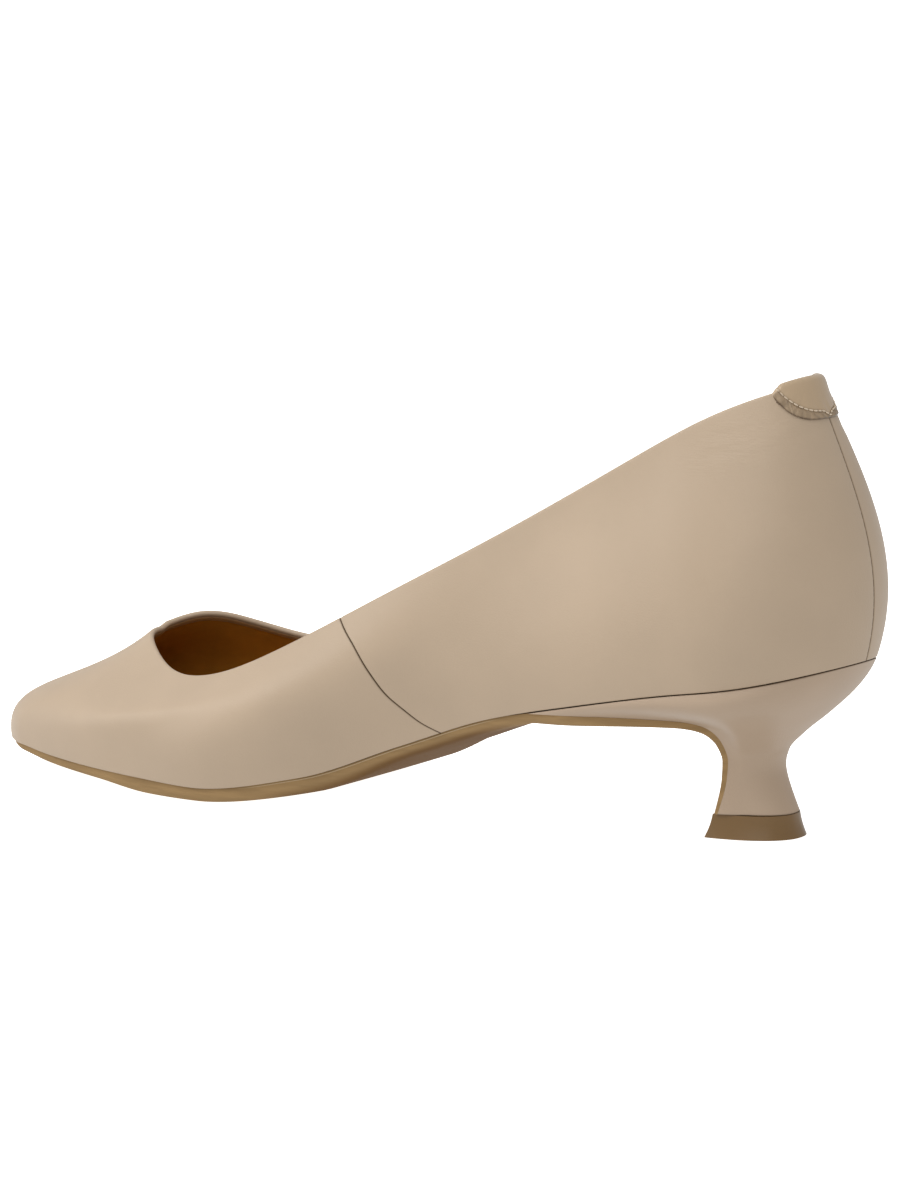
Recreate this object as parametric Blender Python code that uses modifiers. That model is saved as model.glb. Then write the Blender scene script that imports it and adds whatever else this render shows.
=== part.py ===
"""Low heel pump for the right foot, in metres. X runs from the toe to the heel, -Y is the
inner side of the foot, and z=0 is the floor under the ball and the heel lift."""

import bpy
import numpy as np

# Sizes of the whole shoe
LENGTH = 0.2459
BALL = 0.0765
HEEL_H = 0.0419
INSTEP_H = 0.0379
BACK_TOP = 0.1048
VAMP = 0.0460
BACK_LEAN = 0.0123
TIP_SHIFT = 0.0042

# Share of length from the toe over which the tip turns to the inner side
TIP_SHIFT_END = 0.35

# Sizes of the materials and of the joins between pieces
WALL = 0.0016
JOIN = 0.0003
SOLE_T = 0.0036
SOLE_INSET = 0.0008
INSOLE_T = 0.0018
TAB_T = 0.0007

# Sizes of the heel: its lift, and where its front wing starts along the sole
LIFT_FRONT = 0.2098
LIFT_HALF = 0.0109
LIFT_LONG = 0.0196
LIFT_H = 0.0054
LIFT_FLARE = 0.0015
WING_AT = 0.690
WING_T = 0.0005
BREAST_T = 0.0014

# Shares of length over which the plan outline is rounded
TOE_ROUND = 0.05
SEAT_ROUND = 0.125
THROAT_ROUND = 0.16
COLLAR_ROUND = 0.14

# Columns of the tables. Widths are shares of BALL.
# SOLE: place along the sole, inner and outer half widths, rise as a share of the heel's.
SOLE_COLUMNS = ("along", "inner", "outer", "rise")
SOLE = (
    (0.00, 0.092, 0.093, 0.084),
    (0.04, 0.162, 0.150, 0.082),
    (0.10, 0.251, 0.225, 0.055),
    (0.18, 0.342, 0.326, 0.031),
    (0.25, 0.390, 0.412, 0.012),
    (0.32, 0.428, 0.478, 0.002),
    (0.44, 0.373, 0.499, 0.112),
    (0.54, 0.285, 0.434, 0.336),
    (0.64, 0.278, 0.380, 0.553),
    (0.74, 0.318, 0.350, 0.693),
    (0.84, 0.346, 0.350, 0.812),
    (0.92, 0.345, 0.347, 0.886),
    (1.00, 0.342, 0.340, 1.000),
)
# EDGE: place along the sole as far as the heel, thickness at the edge and how far the middle
# hangs below it as shares of SOLE_T, and the width of the rounded edge as a share of BALL.
EDGE_COLUMNS = ("along", "edge", "belly", "round")
EDGE = (
    (0.00, 0.30, 0.00, 0.010),
    (0.10, 0.50, 0.00, 0.014),
    (0.18, 0.60, 0.00, 0.016),
    (0.25, 1.19, 0.00, 0.016),
    (0.32, 1.08, 0.00, 0.016),
    (0.44, 1.34, 0.00, 0.080),
    (0.54, 0.79, 0.42, 0.085),
    (0.64, 0.80, 0.26, 0.060),
    (0.69, 0.49, 0.07, 0.030),
)
# TOP: place along the topline, half widths, and rises from INSTEP_H to BACK_TOP on each side.
TOP_COLUMNS = ("along", "inner", "outer", "inner_rise", "outer_rise")
TOP = (
    (0.000, 0.207, 0.206, 0.000, 0.000),
    (0.035, 0.233, 0.220, -0.040, 0.043),
    (0.080, 0.270, 0.259, -0.089, 0.016),
    (0.180, 0.329, 0.309, -0.100, -0.054),
    (0.300, 0.339, 0.342, 0.023, 0.025),
    (0.450, 0.327, 0.357, 0.230, 0.214),
    (0.620, 0.303, 0.339, 0.467, 0.464),
    (0.800, 0.277, 0.290, 0.738, 0.763),
    (0.920, 0.235, 0.245, 0.916, 0.967),
    (1.000, 0.234, 0.218, 1.000, 1.000),
)
# RIBS: place from toe to heel, splay out of the sole and lean in at the topline in degrees,
# reach of both ends of the curve as shares of the straight line between them.
RIB_COLUMNS = ("at", "splay", "lean", "low", "high")
RIBS = (
    (0.00, 3.3, 49.8, 0.30, 0.45),
    (0.20, 14.5, 51.8, 0.35, 0.42),
    (0.35, 17.5, 43.8, 0.40, 0.40),
    (0.50, 24.5, 15.9, 0.40, 0.35),
    (0.70, 24.4, 11.7, 0.38, 0.35),
    (0.85, 21.5, 23.1, 0.38, 0.35),
    (1.00, 15.8, 20.9, 0.38, 0.35),
)
# HEEL: place down the heel, front and back edges as shares of the way from the lift to the
# seat, along X and up, half widths at the front and in the middle as shares of the lift's,
# how far the section has left the seat's outline for a plain D, and how much of it is round.
HEEL_COLUMNS = (
    "down", "front_x", "front_z", "back_x", "back_z", "front_half", "half", "plain", "round",
)
HEEL = (
    (0.00, 1.000, 1.000, 1.000, 1.000, 2.10, 2.60, 0.00, 0.00),
    (0.12, 0.522, 1.036, 0.853, 0.894, 1.75, 2.44, 0.60, 0.10),
    (0.25, 0.187, 1.006, 0.642, 0.767, 1.38, 2.14, 0.90, 0.30),
    (0.38, 0.050, 0.919, 0.373, 0.637, 1.09, 1.72, 1.00, 0.60),
    (0.52, -0.020, 0.762, 0.068, 0.511, 0.89, 1.23, 1.00, 0.85),
    (0.65, -0.043, 0.562, -0.155, 0.392, 0.77, 0.86, 1.00, 1.00),
    (0.80, -0.039, 0.375, -0.211, 0.290, 0.80, 0.82, 1.00, 1.00),
    (1.00, 0.000, 0.000, 0.000, 0.000, 0.95, 0.80, 1.00, 1.00),
)

# Share of the sole over which it thins to pass under the front of the heel, the gap left there
# as a share too, and the share of the heel's front down which the sole thins to BREAST_T
WING_RAMP = 0.035
WING_GAP = 0.005
WING_THIN = 0.2

# The sole's section: thickness at its very edge as a share of the edge's, angles round that
# rounded edge in degrees, its most width as a share of the sole's, and columns in the middle
EDGE_LEAST = 0.35
EDGE_TURNS = (0, 30, 60, 90)
EDGE_WIDEST = 0.4
MIDDLE_PLACES = (0.3, 0.5, 0.7)

# Share of a heel section from its front over which it swells to its full width
SWELL_END = 0.5

# Creases sharper than this, in degrees, are shown as edges
SHARP_ANGLE = 40

# The heel tab: reach each way from the centre back as a share of the side, depths outside and
# inside, the power by which it runs out towards its ends, and its depth there as a share
TAB_REACH = 0.120
TAB_DEPTH = 0.0087
TAB_LIP = 0.0040
TAB_POWER = 4
TAB_LEAST = 0.15

# Numbers of faces
SIDE_COLUMNS = 36
RIB_ROWS = 13
HEEL_RINGS = 20
HEEL_STEPS = 12
TAB_STEPS = 16
TAB_ROWS = 8
FOLD_STEPS = 5


def smooth(x, xs, ys):
    """Cubic through table rows that stays level between equal rows."""
    xs, ys = np.asarray(xs, float), np.asarray(ys, float)
    step = np.diff(xs)
    slope = np.diff(ys) / step
    lean = np.zeros_like(ys)
    keep = slope[:-1] * slope[1:] > 0
    lean[1:-1][keep] = 2 * (slope[:-1] * slope[1:])[keep] / (slope[:-1] + slope[1:])[keep]
    lean[0] = 1.5 * slope[0] - 0.5 * lean[1]
    lean[-1] = 1.5 * slope[-1] - 0.5 * lean[-2]
    x = np.clip(x, xs[0], xs[-1])
    i = np.clip(np.searchsorted(xs, x, side="right") - 1, 0, len(xs) - 2)
    t = (x - xs[i]) / step[i]
    first = (1 + 2 * t) * (1 - t) ** 2 * ys[i] + t * (1 - t) ** 2 * step[i] * lean[i]
    return first + t * t * (3 - 2 * t) * ys[i + 1] + t * t * (t - 1) * step[i] * lean[i + 1]


def fair(x, xs, ys):
    """Spline through table rows with an even curvature."""
    xs, ys = np.asarray(xs, float), np.asarray(ys, float)
    step = np.diff(xs)
    slope = np.diff(ys) / step
    bend = np.eye(len(xs))
    rise = np.zeros(len(xs))
    for i in range(1, len(xs) - 1):
        bend[i, i - 1 : i + 2] = step[i - 1], 2 * (step[i - 1] + step[i]), step[i]
        rise[i] = 6 * (slope[i] - slope[i - 1])
    turn = np.linalg.solve(bend, rise)
    x = np.clip(x, xs[0], xs[-1])
    i = np.clip(np.searchsorted(xs, x, side="right") - 1, 0, len(xs) - 2)
    a, b = (xs[i + 1] - x) / step[i], (x - xs[i]) / step[i]
    curve = ((a**3 - a) * turn[i] + (b**3 - b) * turn[i + 1]) * step[i] ** 2 / 6
    return a * ys[i] + b * ys[i + 1] + curve


def column(table, names, name, x, through=smooth):
    """Value of the named column of a table at x, which runs along the first column."""
    rows = np.array(table)
    return through(x, rows[:, 0], rows[:, names.index(name)])


def unit(v):
    return v / (np.linalg.norm(v, axis=-1, keepdims=True) + 1e-15)


def end_round(s, toe, back):
    """1 along the middle of an outline, down to 0 at its two rounded ends."""
    a = np.clip(1 - s / toe, 0, 1)
    b = np.clip(1 - (1 - s) / back, 0, 1)
    return np.sqrt(np.clip(1 - a**2, 0, 1)) * np.sqrt(np.clip(1 - b**2, 0, 1))


def along(at):
    """Place along an outline for a column from 0 at the toe to 1 at the back."""
    return (1 - np.cos(np.pi * np.asarray(at, float))) / 2


def centre_y(s):
    """The toe points a little to the inner side."""
    return -TIP_SHIFT * np.clip(1 - s / TIP_SHIFT_END, 0, 1) ** 2


def feather_z(s):
    return SOLE_T + (HEEL_H - SOLE_T) * column(SOLE, SOLE_COLUMNS, "rise", s)


def sole_half(side, s):
    return BALL * column(SOLE, SOLE_COLUMNS, "inner" if side < 0 else "outer", s, fair)


def feather(side, at):
    """The line where the upper meets the sole. side is -1 for inner, 1 for outer."""
    s = along(at)
    y = centre_y(s) + side * sole_half(side, s) * end_round(s, TOE_ROUND, SEAT_ROUND)
    return np.stack([s * LENGTH, y, feather_z(s)], -1)


def topline(side, at):
    s = along(at)
    name = "inner" if side < 0 else "outer"
    half = BALL * column(TOP, TOP_COLUMNS, name, s, fair) * end_round(s, THROAT_ROUND, COLLAR_ROUND)
    x = VAMP + (LENGTH - BACK_LEAN - VAMP) * s
    z = INSTEP_H + (BACK_TOP - INSTEP_H) * column(TOP, TOP_COLUMNS, name + "_rise", s, fair)
    return np.stack([x, centre_y(x / LENGTH) + side * half, z], -1)


def ring(line, n):
    """A line taken right round: toe, inner side, back, outer side, with the column of each."""
    at = np.arange(n + 1) / n
    both = np.vstack([line(-1, at), line(1, at[::-1])[1:-1]])
    return both, np.concatenate([at, at[::-1][1:-1]])


def plan_out(points):
    """Level directions that point out of a ring."""
    d = np.roll(points, -1, 0) - np.roll(points, 1, 0)
    return unit(np.stack([d[:, 1], -d[:, 0], 0 * d[:, 0]], -1))


def inset(points, by):
    moved = points.copy()
    moved[:, :2] -= plan_out(points)[:, :2] * by
    return moved


def upper_outside(n, rows):
    """Outer face of the upper, a grid of rows from the feather line to the topline."""
    low, at = ring(feather, n)
    high, _ = ring(topline, n)
    splay = np.radians(column(RIBS, RIB_COLUMNS, "splay", at, fair))[:, None]
    lean = np.radians(column(RIBS, RIB_COLUMNS, "lean", at, fair))[:, None]
    up = np.array([0.0, 0.0, 1.0])
    start = plan_out(low) * np.sin(splay) + up * np.cos(splay)
    end = -plan_out(high) * np.sin(lean) + up * np.cos(lean)
    chord = np.linalg.norm(high - low, axis=1)[:, None]
    a = low + start * chord * column(RIBS, RIB_COLUMNS, "low", at)[:, None]
    b = high - end * chord * column(RIBS, RIB_COLUMNS, "high", at)[:, None]
    t = np.linspace(0, 1, rows)[:, None, None]
    return (1 - t) ** 3 * low + 3 * (1 - t) ** 2 * t * a + 3 * (1 - t) * t * t * b + t**3 * high


def grid_out(grid):
    """Directions out of a grid of rings that runs upwards."""
    around = np.roll(grid, -1, 1) - np.roll(grid, 1, 1)
    return unit(np.cross(around, np.gradient(grid, axis=0)))


def lift_outline(flare):
    """Front, back and half width of the lift, drawn in by flare all round."""
    return LIFT_FRONT + flare, LIFT_FRONT + LIFT_LONG - flare, LIFT_HALF - flare


def heel_ends():
    """Front and back edges of the heel, as (x, z), at the seat and on the lift."""
    seat_front = (WING_AT * LENGTH, float(feather_z(WING_AT)) - JOIN - WING_T)
    seat_back = (LENGTH, HEEL_H - JOIN)
    front, back, _ = lift_outline(LIFT_FLARE)
    foot = LIFT_H + JOIN
    return seat_front, seat_back, (front + BREAST_T + JOIN, foot), (back, foot)


def heel_edge(name, down):
    """Front or back edge of the heel in side view."""
    seat_front, seat_back, foot_front, foot_back = heel_ends()
    seat, foot = (seat_front, foot_front) if name == "front" else (seat_back, foot_back)
    x = foot[0] + (seat[0] - foot[0]) * column(HEEL, HEEL_COLUMNS, name + "_x", down)
    z = foot[1] + (seat[1] - foot[1]) * column(HEEL, HEEL_COLUMNS, name + "_z", down)
    return np.stack([x, z], -1)


def heel_front_half(side, down):
    """Half width of the heel at its front edge."""
    x = heel_edge("front", down)[..., 0]
    plain = column(HEEL, HEEL_COLUMNS, "plain", down)
    half = LIFT_HALF * column(HEEL, HEEL_COLUMNS, "front_half", down)
    return (1 - plain) * sole_half(side, x / LENGTH) + plain * half


def heel_side(side, down, u):
    """Points of one side of a heel section, u running from its front edge to its back."""
    front, back = heel_edge("front", down), heel_edge("back", down)
    x = front[0] + (back[0] - front[0]) * u
    plain = column(HEEL, HEEL_COLUMNS, "plain", down)
    seat_share = SEAT_ROUND / (1 - WING_AT)
    share = seat_share + (1 - seat_share) * column(HEEL, HEEL_COLUMNS, "round", down)
    arc = np.sqrt(np.clip(1 - np.clip(1 - (1 - u) / share, 0, 1) ** 2, 0, 1))
    swell = np.clip(u / SWELL_END, 0, 1)
    swell = swell * swell * (3 - 2 * swell)
    low = LIFT_HALF * column(HEEL, HEEL_COLUMNS, "front_half", down)
    high = LIFT_HALF * column(HEEL, HEEL_COLUMNS, "half", down)
    half = (1 - plain) * sole_half(side, x / LENGTH) + plain * (low + (high - low) * swell)
    seat_z = feather_z(x / LENGTH) - JOIN
    line = seat_z[0] + (seat_z[-1] - seat_z[0]) * u
    z = front[1] + (back[1] - front[1]) * u + (1 - plain) * (seat_z - line)
    return np.stack([x, side * arc * half, z], -1)


def sole_top(x):
    """Height of the outsole's upper face, which drops to pass under the front of the heel."""
    s = x / LENGTH
    ramp = np.clip((s - WING_AT + WING_RAMP) / WING_RAMP, 0, 1)
    return feather_z(s) - JOIN - (WING_T + JOIN) * ramp * ramp * (3 - 2 * ramp)


def sole_stations():
    """Edges of the outsole's upper face, inner and outer, with the sizes of each section."""
    line = inset(ring(feather, SIDE_COLUMNS)[0], SOLE_INSET)
    count = int(np.sum(along(np.arange(SIDE_COLUMNS + 1) / SIDE_COLUMNS) < WING_AT - WING_GAP))
    inner = line[:count].copy()
    outer = line[-np.arange(count)].copy()
    inner[0, 1] -= JOIN
    outer[0, 1] += JOIN
    for side in (inner, outer):
        side[:, 2] = sole_top(side[:, 0])
    s = (inner[:, 0] + outer[:, 0]) / 2 / LENGTH
    full = SOLE_T - JOIN
    edge = full * column(EDGE, EDGE_COLUMNS, "edge", s)
    belly = full * column(EDGE, EDGE_COLUMNS, "belly", s)
    soft = BALL * column(EDGE, EDGE_COLUMNS, "round", s)

    down = np.linspace(0, 1, HEEL_RINGS)
    front = heel_edge("front", down)
    tangent = unit(np.gradient(front, axis=0))
    front = front + JOIN * np.stack([tangent[:, 1], -tangent[:, 0]], -1)
    trim = SOLE_INSET + (JOIN - SOLE_INSET) * down
    sides = []
    for side in (-1, 1):
        y = side * (heel_front_half(side, down) - trim)
        sides.append(np.stack([front[:, 0], y, front[:, 1]], -1))
    thin = np.clip(down / WING_THIN, 0, 1)
    thin = thin * thin * (3 - 2 * thin)
    inner, outer = np.vstack([inner, sides[0]]), np.vstack([outer, sides[1]])
    edge = np.concatenate([edge, edge[-1] + (BREAST_T - edge[-1]) * thin])
    belly = np.concatenate([belly, belly[-1] * (1 - thin)])
    soft = np.concatenate([soft, soft[-1] + (BREAST_T / 2 - soft[-1]) * thin])
    return inner, outer, edge, belly, soft


def outsole():
    inner, outer, edge, belly, soft = sole_stations()
    middle = (inner + outer) / 2
    path = unit(np.gradient(middle[:, [0, 2]], axis=0))
    below = np.stack([path[:, 1], 0 * edge, -path[:, 0]], -1)
    width = np.linalg.norm(outer - inner, axis=1)
    soft = np.minimum(soft, EDGE_WIDEST * width)
    turn = np.radians(EDGE_TURNS)
    rings = []
    for i in range(len(inner)):
        low = edge[i] * (EDGE_LEAST + (1 - EDGE_LEAST) * np.sin(turn))
        v = soft[i] / width[i] * (1 - np.cos(turn))
        v = np.concatenate([v, MIDDLE_PLACES, 1 - v[::-1]])
        flat = np.full(len(MIDDLE_PLACES), edge[i])
        low = np.concatenate([low, flat, low[::-1]])
        low = low + belly[i] * (1 - (2 * v - 1) ** 2)
        across = inner[i] + (outer[i] - inner[i]) * v[:, None]
        under = across + below[i] * low[:, None]
        rings.append(np.vstack([outer[i], inner[i], under]))
    points = np.array(rings)
    points[..., 2] = np.maximum(points[..., 2], 0)
    rows, columns = points.shape[:2]
    faces = band(rows, columns, True)
    faces.append(list(range(columns))[::-1])
    faces.append(list(range((rows - 1) * columns, rows * columns)))
    return points.reshape(-1, 3), faces


def upper():
    """Outer face of the upper as an open surface. Its wall is added inwards."""
    points = upper_outside(SIDE_COLUMNS, RIB_ROWS)
    rows, columns = points.shape[:2]
    return points.reshape(-1, 3), band(rows, columns, True)


def insole():
    """Lower face of the insole as an open surface. Its thickness is added upwards."""
    points = inset(ring(feather, SIDE_COLUMNS)[0], WALL + 2 * JOIN)
    points[:, 2] = feather_z(points[:, 0] / LENGTH)
    inner = list(range(SIDE_COLUMNS + 1))
    outer = [0] + list(range(2 * SIDE_COLUMNS - 1, SIDE_COLUMNS - 1, -1))
    return points, ladder(inner, outer, True)


def d_rings(sides):
    """Solid through D-shaped sections, each a pair of sides from its front to its back."""
    m = len(sides[0][0])
    rings = [np.vstack([inner, outer[-2::-1]]) for inner, outer in sides]
    count = 2 * m - 1
    inner = list(range(m))
    outer = [count - 1 - i for i in range(m)]
    last = (len(rings) - 1) * count
    faces = band(len(rings), count, True) + ladder(inner, outer, False)
    faces += ladder([last + i for i in inner], [last + i for i in outer], True)
    return np.vstack(rings), faces


def heel():
    u = np.sin(np.pi / 2 * np.linspace(0, 1, HEEL_STEPS + 1))
    downs = np.linspace(1, 0, HEEL_RINGS)
    return d_rings([(heel_side(-1, d, u), heel_side(1, d, u)) for d in downs])


def heel_lift():
    u = np.sin(np.pi / 2 * np.linspace(0, 1, HEEL_STEPS + 1))
    sides = []
    for flare, z in ((0.0, 0.0), (LIFT_FLARE, LIFT_H)):
        front, back, half = lift_outline(flare)
        arc = half * np.sqrt(1 - u * u)
        x = front + (back - front) * u
        sides.append([np.stack([x, side * arc, 0 * u + z], -1) for side in (-1, 1)])
    return d_rings(sides)


def heel_tab():
    """Inner face of the patch that folds over the upper's back edge, as an open surface."""
    n = 4 * SIDE_COLUMNS
    outside = upper_outside(n, 4 * RIB_ROWS)
    out = grid_out(outside)
    reach = TAB_REACH * n
    places = np.round(reach * np.sin(np.pi / 2 * np.linspace(-1, 1, TAB_STEPS + 1)))
    strips = []
    for place in places.astype(int):
        wall, away = outside[::-1, n + place], out[::-1, n + place]
        gone = np.concatenate([[0], np.cumsum(np.linalg.norm(np.diff(wall, axis=0), axis=1))])
        across = abs(place) / reach
        shape = TAB_LEAST + (1 - TAB_LEAST) * max(1 - across**TAB_POWER, 0)
        down = np.linspace(TAB_DEPTH * shape, 0, TAB_ROWS)[:, None]
        at = np.stack([np.interp(down[:, 0], gone, wall[:, k]) for k in range(3)], -1)
        face = unit(np.stack([np.interp(down[:, 0], gone, away[:, k]) for k in range(3)], -1))
        up = unit(wall[0] - wall[1])
        turn = np.linspace(0, np.pi, FOLD_STEPS + 1)[1:-1, None]
        fold = np.cos(turn) * away[0] + np.sin(turn) * up
        edge = wall[0] - away[0] * WALL / 2 + (WALL / 2 + JOIN) * fold
        lip = wall[0] - away[0] * (WALL + JOIN) - up * TAB_LIP * shape * np.array([[0], [0.5], [1]])
        strips.append(np.vstack([at + JOIN * face, edge, lip]))
    points = np.stack(strips, axis=1)
    rows, columns = points.shape[:2]
    return points.reshape(-1, 3), band(rows, columns, False)


def band(rows, columns, around):
    """Quads of a grid of points, facing along columns x rows. around closes each row."""
    quads = []
    for r in range(rows - 1):
        for c in range(columns if around else columns - 1):
            a, b, d = r * columns, (r + 1) * columns, (c + 1) % columns
            quads.append([a + c, a + d, b + d, b + c])
    return quads


def ladder(left, right, upwards):
    """Faces across a ring, between two lists of points that run side by side."""
    faces = []
    for i in range(len(left) - 1):
        face = list(dict.fromkeys([left[i], left[i + 1], right[i + 1], right[i]]))
        faces.append(face if upwards else face[::-1])
    return faces


def make(name, shape, wall, colour, roughness):
    """One piece: a closed solid, or an open surface that gets a wall to one side of it."""
    points, faces = shape
    mesh = bpy.data.meshes.new(name)
    mesh.from_pydata([tuple(p) for p in points - origin], [], faces)
    mesh.shade_smooth()
    mesh.set_sharp_from_angle(angle=np.radians(SHARP_ANGLE))
    piece = bpy.data.objects.new(name, mesh)
    shoe.objects.link(piece)
    if wall:
        solidify = piece.modifiers.new("wall", "SOLIDIFY")
        solidify.thickness = abs(wall)
        solidify.offset = np.sign(wall)
        solidify.use_even_offset = True
    material = bpy.data.materials.new(name)
    material.use_nodes = True
    shader = material.node_tree.nodes["Principled BSDF"]
    shader.inputs["Base Color"].default_value = (*colour, 1)
    shader.inputs["Roughness"].default_value = roughness
    shader.inputs["Metallic"].default_value = 0
    material.diffuse_color = (*colour, 1)
    mesh.materials.append(material)


for old in list(bpy.data.objects):
    bpy.data.objects.remove(old)
shoe = bpy.data.collections.new("low_heel_pump")
bpy.context.scene.collection.children.link(shoe)

# Name, shape, wall added outwards (or inwards, if negative), colour (linear) and roughness
PIECES = (
    ("upper", upper(), -WALL, (0.52, 0.40, 0.29), 0.45),
    ("outsole", outsole(), 0, (0.40, 0.28, 0.16), 0.55),
    ("insole", insole(), INSOLE_T, (0.16, 0.09, 0.04), 0.60),
    ("heel", heel(), 0, (0.50, 0.39, 0.28), 0.45),
    ("heel_lift", heel_lift(), 0, (0.20, 0.13, 0.07), 0.50),
    ("heel_tab", heel_tab(), TAB_T, (0.50, 0.39, 0.28), 0.45),
)

# The origin is on the floor under the middle of the shoe's box
corners = np.vstack([shape[0] for _, shape, _, _, _ in PIECES[:-1]])
origin = (corners.min(0) + corners.max(0)) / 2
origin[2] = 0
for row in PIECES:
    make(*row)
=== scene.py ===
"""Looks of the low heel pump for the right foot: smooth beige leather over a thin tan sole, with
a brown lining. Sizes are in metres, X from toe to heel, -Y the inner side of the foot."""

import bpy
import numpy as np
from mathutils import Matrix, Vector


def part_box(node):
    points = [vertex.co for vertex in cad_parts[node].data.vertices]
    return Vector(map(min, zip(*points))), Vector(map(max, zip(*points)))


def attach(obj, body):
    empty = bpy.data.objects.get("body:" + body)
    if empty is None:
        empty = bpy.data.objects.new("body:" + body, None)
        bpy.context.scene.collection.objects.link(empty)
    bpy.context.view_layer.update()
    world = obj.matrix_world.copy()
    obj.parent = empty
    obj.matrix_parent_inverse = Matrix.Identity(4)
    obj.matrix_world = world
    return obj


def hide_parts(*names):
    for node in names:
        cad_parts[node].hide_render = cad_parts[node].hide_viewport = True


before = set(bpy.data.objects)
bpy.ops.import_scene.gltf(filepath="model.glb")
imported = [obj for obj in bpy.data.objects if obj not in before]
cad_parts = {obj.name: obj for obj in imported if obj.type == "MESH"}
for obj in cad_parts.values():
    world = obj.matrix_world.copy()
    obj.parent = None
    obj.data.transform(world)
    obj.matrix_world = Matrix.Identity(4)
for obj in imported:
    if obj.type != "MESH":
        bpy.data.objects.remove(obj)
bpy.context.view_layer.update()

# Sizes of the whole shoe
LENGTH = 0.2459
BALL = 0.0765
HEEL_H = 0.0419
INSTEP_H = 0.0379
BACK_TOP = 0.1048
VAMP = 0.0460
BACK_LEAN = 0.0123
TIP_SHIFT = 0.0042

# Sizes of the materials and of the joins between pieces
WALL = 0.0016
JOIN = 0.0003
SOLE_T = 0.0036
SOLE_INSET = 0.0008
INSOLE_T = 0.0018

# Sizes of the heel: its lift, and where its front wing starts along the sole
LIFT_FRONT = 0.2098
LIFT_HALF = 0.0109
LIFT_LONG = 0.0196
LIFT_H = 0.0054
LIFT_FLARE = 0.0015
WING_AT = 0.690
WING_GAP = 0.0001
WING_RAMP = 0.035
BREAST_T = 0.0014
BREAST_ROUND = 0.0003
LIFT_POWER = 2.3

# Shares of length over which the plan outline is rounded
TOE_ROUND = 0.05
SEAT_ROUND = 0.125
THROAT_ROUND = 0.16
COLLAR_ROUND = 0.14

# The topline's outer side stands up a little round the front of the opening, as far as this place
THROAT_UP = 0.0009
THROAT_UP_TO = 0.15

# Tables, each with the names of its columns first. Widths are shares of BALL.
# SOLE: place along the sole, inner and outer half widths, rise as a share of the heel's.
SOLE = (
    ("along", "inner", "outer", "rise"),
    (0.00, 0.092, 0.093, 0.084),
    (0.04, 0.162, 0.150, 0.082),
    (0.10, 0.251, 0.225, 0.055),
    (0.18, 0.342, 0.326, 0.031),
    (0.25, 0.390, 0.412, 0.012),
    (0.32, 0.428, 0.478, 0.002),
    (0.44, 0.373, 0.499, 0.112),
    (0.54, 0.285, 0.434, 0.336),
    (0.64, 0.278, 0.380, 0.553),
    (0.74, 0.318, 0.350, 0.693),
    (0.84, 0.346, 0.350, 0.812),
    (0.92, 0.345, 0.347, 0.886),
    (1.00, 0.342, 0.340, 1.000),
)
# EDGE: place along the sole as far as the heel, thickness at the edge and how far the middle
# hangs below it as shares of SOLE_T less JOIN, and the rounded edge's width as a share of BALL.
EDGE = (
    ("along", "edge", "belly", "round"),
    (0.00, 0.45, 0.00, 0.010),
    (0.10, 0.76, 0.00, 0.014),
    (0.18, 0.89, 0.00, 0.016),
    (0.25, 1.19, 0.00, 0.016),
    (0.32, 1.08, 0.00, 0.016),
    (0.44, 1.34, 0.00, 0.080),
    (0.54, 0.79, 0.42, 0.085),
    (0.64, 0.86, 0.26, 0.060),
    (0.69, 0.78, 0.07, 0.030),
)
# TOP: place along the topline, half widths, and rises from INSTEP_H to BACK_TOP on each side.
TOP = (
    ("along", "inner", "outer", "inner_rise", "outer_rise"),
    (0.000, 0.207, 0.206, 0.000, 0.000),
    (0.035, 0.233, 0.220, -0.040, 0.043),
    (0.080, 0.270, 0.259, -0.089, 0.016),
    (0.180, 0.329, 0.309, -0.100, -0.054),
    (0.300, 0.339, 0.342, 0.023, 0.025),
    (0.450, 0.327, 0.357, 0.230, 0.214),
    (0.620, 0.303, 0.339, 0.467, 0.464),
    (0.800, 0.277, 0.290, 0.738, 0.763),
    (0.920, 0.235, 0.245, 0.916, 0.967),
    (1.000, 0.234, 0.218, 1.000, 1.000),
)
# RIBS: place from toe to heel, splay out of the sole and lean in at the topline in degrees,
# reach of both ends of the curve as shares of the straight line between them.
RIBS = (
    ("at", "splay", "lean", "low", "high"),
    (0.00, 3.3, 49.8, 0.30, 0.45),
    (0.20, 14.5, 51.8, 0.35, 0.42),
    (0.35, 17.5, 43.8, 0.40, 0.40),
    (0.50, 24.5, 15.9, 0.40, 0.35),
    (0.70, 24.4, 11.7, 0.38, 0.35),
    (0.85, 21.5, 23.1, 0.38, 0.35),
    (1.00, 15.8, 20.9, 0.38, 0.35),
)
# HEEL: place down the heel, front and back edges as shares of the way from the lift to the
# seat, along X and up, half widths at the front and in the middle as shares of the lift's,
# how far the section has left the seat's outline for a plain D, and how much of it is round.
HEEL = (
    ("down", "front_x", "front_z", "back_x", "back_z", "front_half", "half", "plain", "round"),
    (0.00, 1.000, 1.000, 1.000, 1.000, 2.10, 2.60, 0.00, 0.00),
    (0.12, 0.522, 1.024, 0.853, 0.894, 1.75, 2.44, 0.60, 0.10),
    (0.25, 0.187, 0.996, 0.642, 0.767, 1.38, 2.14, 0.90, 0.30),
    (0.38, 0.050, 0.919, 0.373, 0.637, 1.09, 1.72, 1.00, 0.60),
    (0.52, -0.020, 0.762, 0.068, 0.511, 0.89, 1.23, 1.00, 0.85),
    (0.65, -0.043, 0.562, -0.155, 0.392, 0.77, 0.86, 1.00, 1.00),
    (0.80, -0.039, 0.375, -0.211, 0.290, 0.80, 0.82, 1.00, 1.00),
    (1.00, 0.000, 0.000, 0.000, 0.000, 0.95, 0.80, 1.00, 1.00),
)

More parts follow.
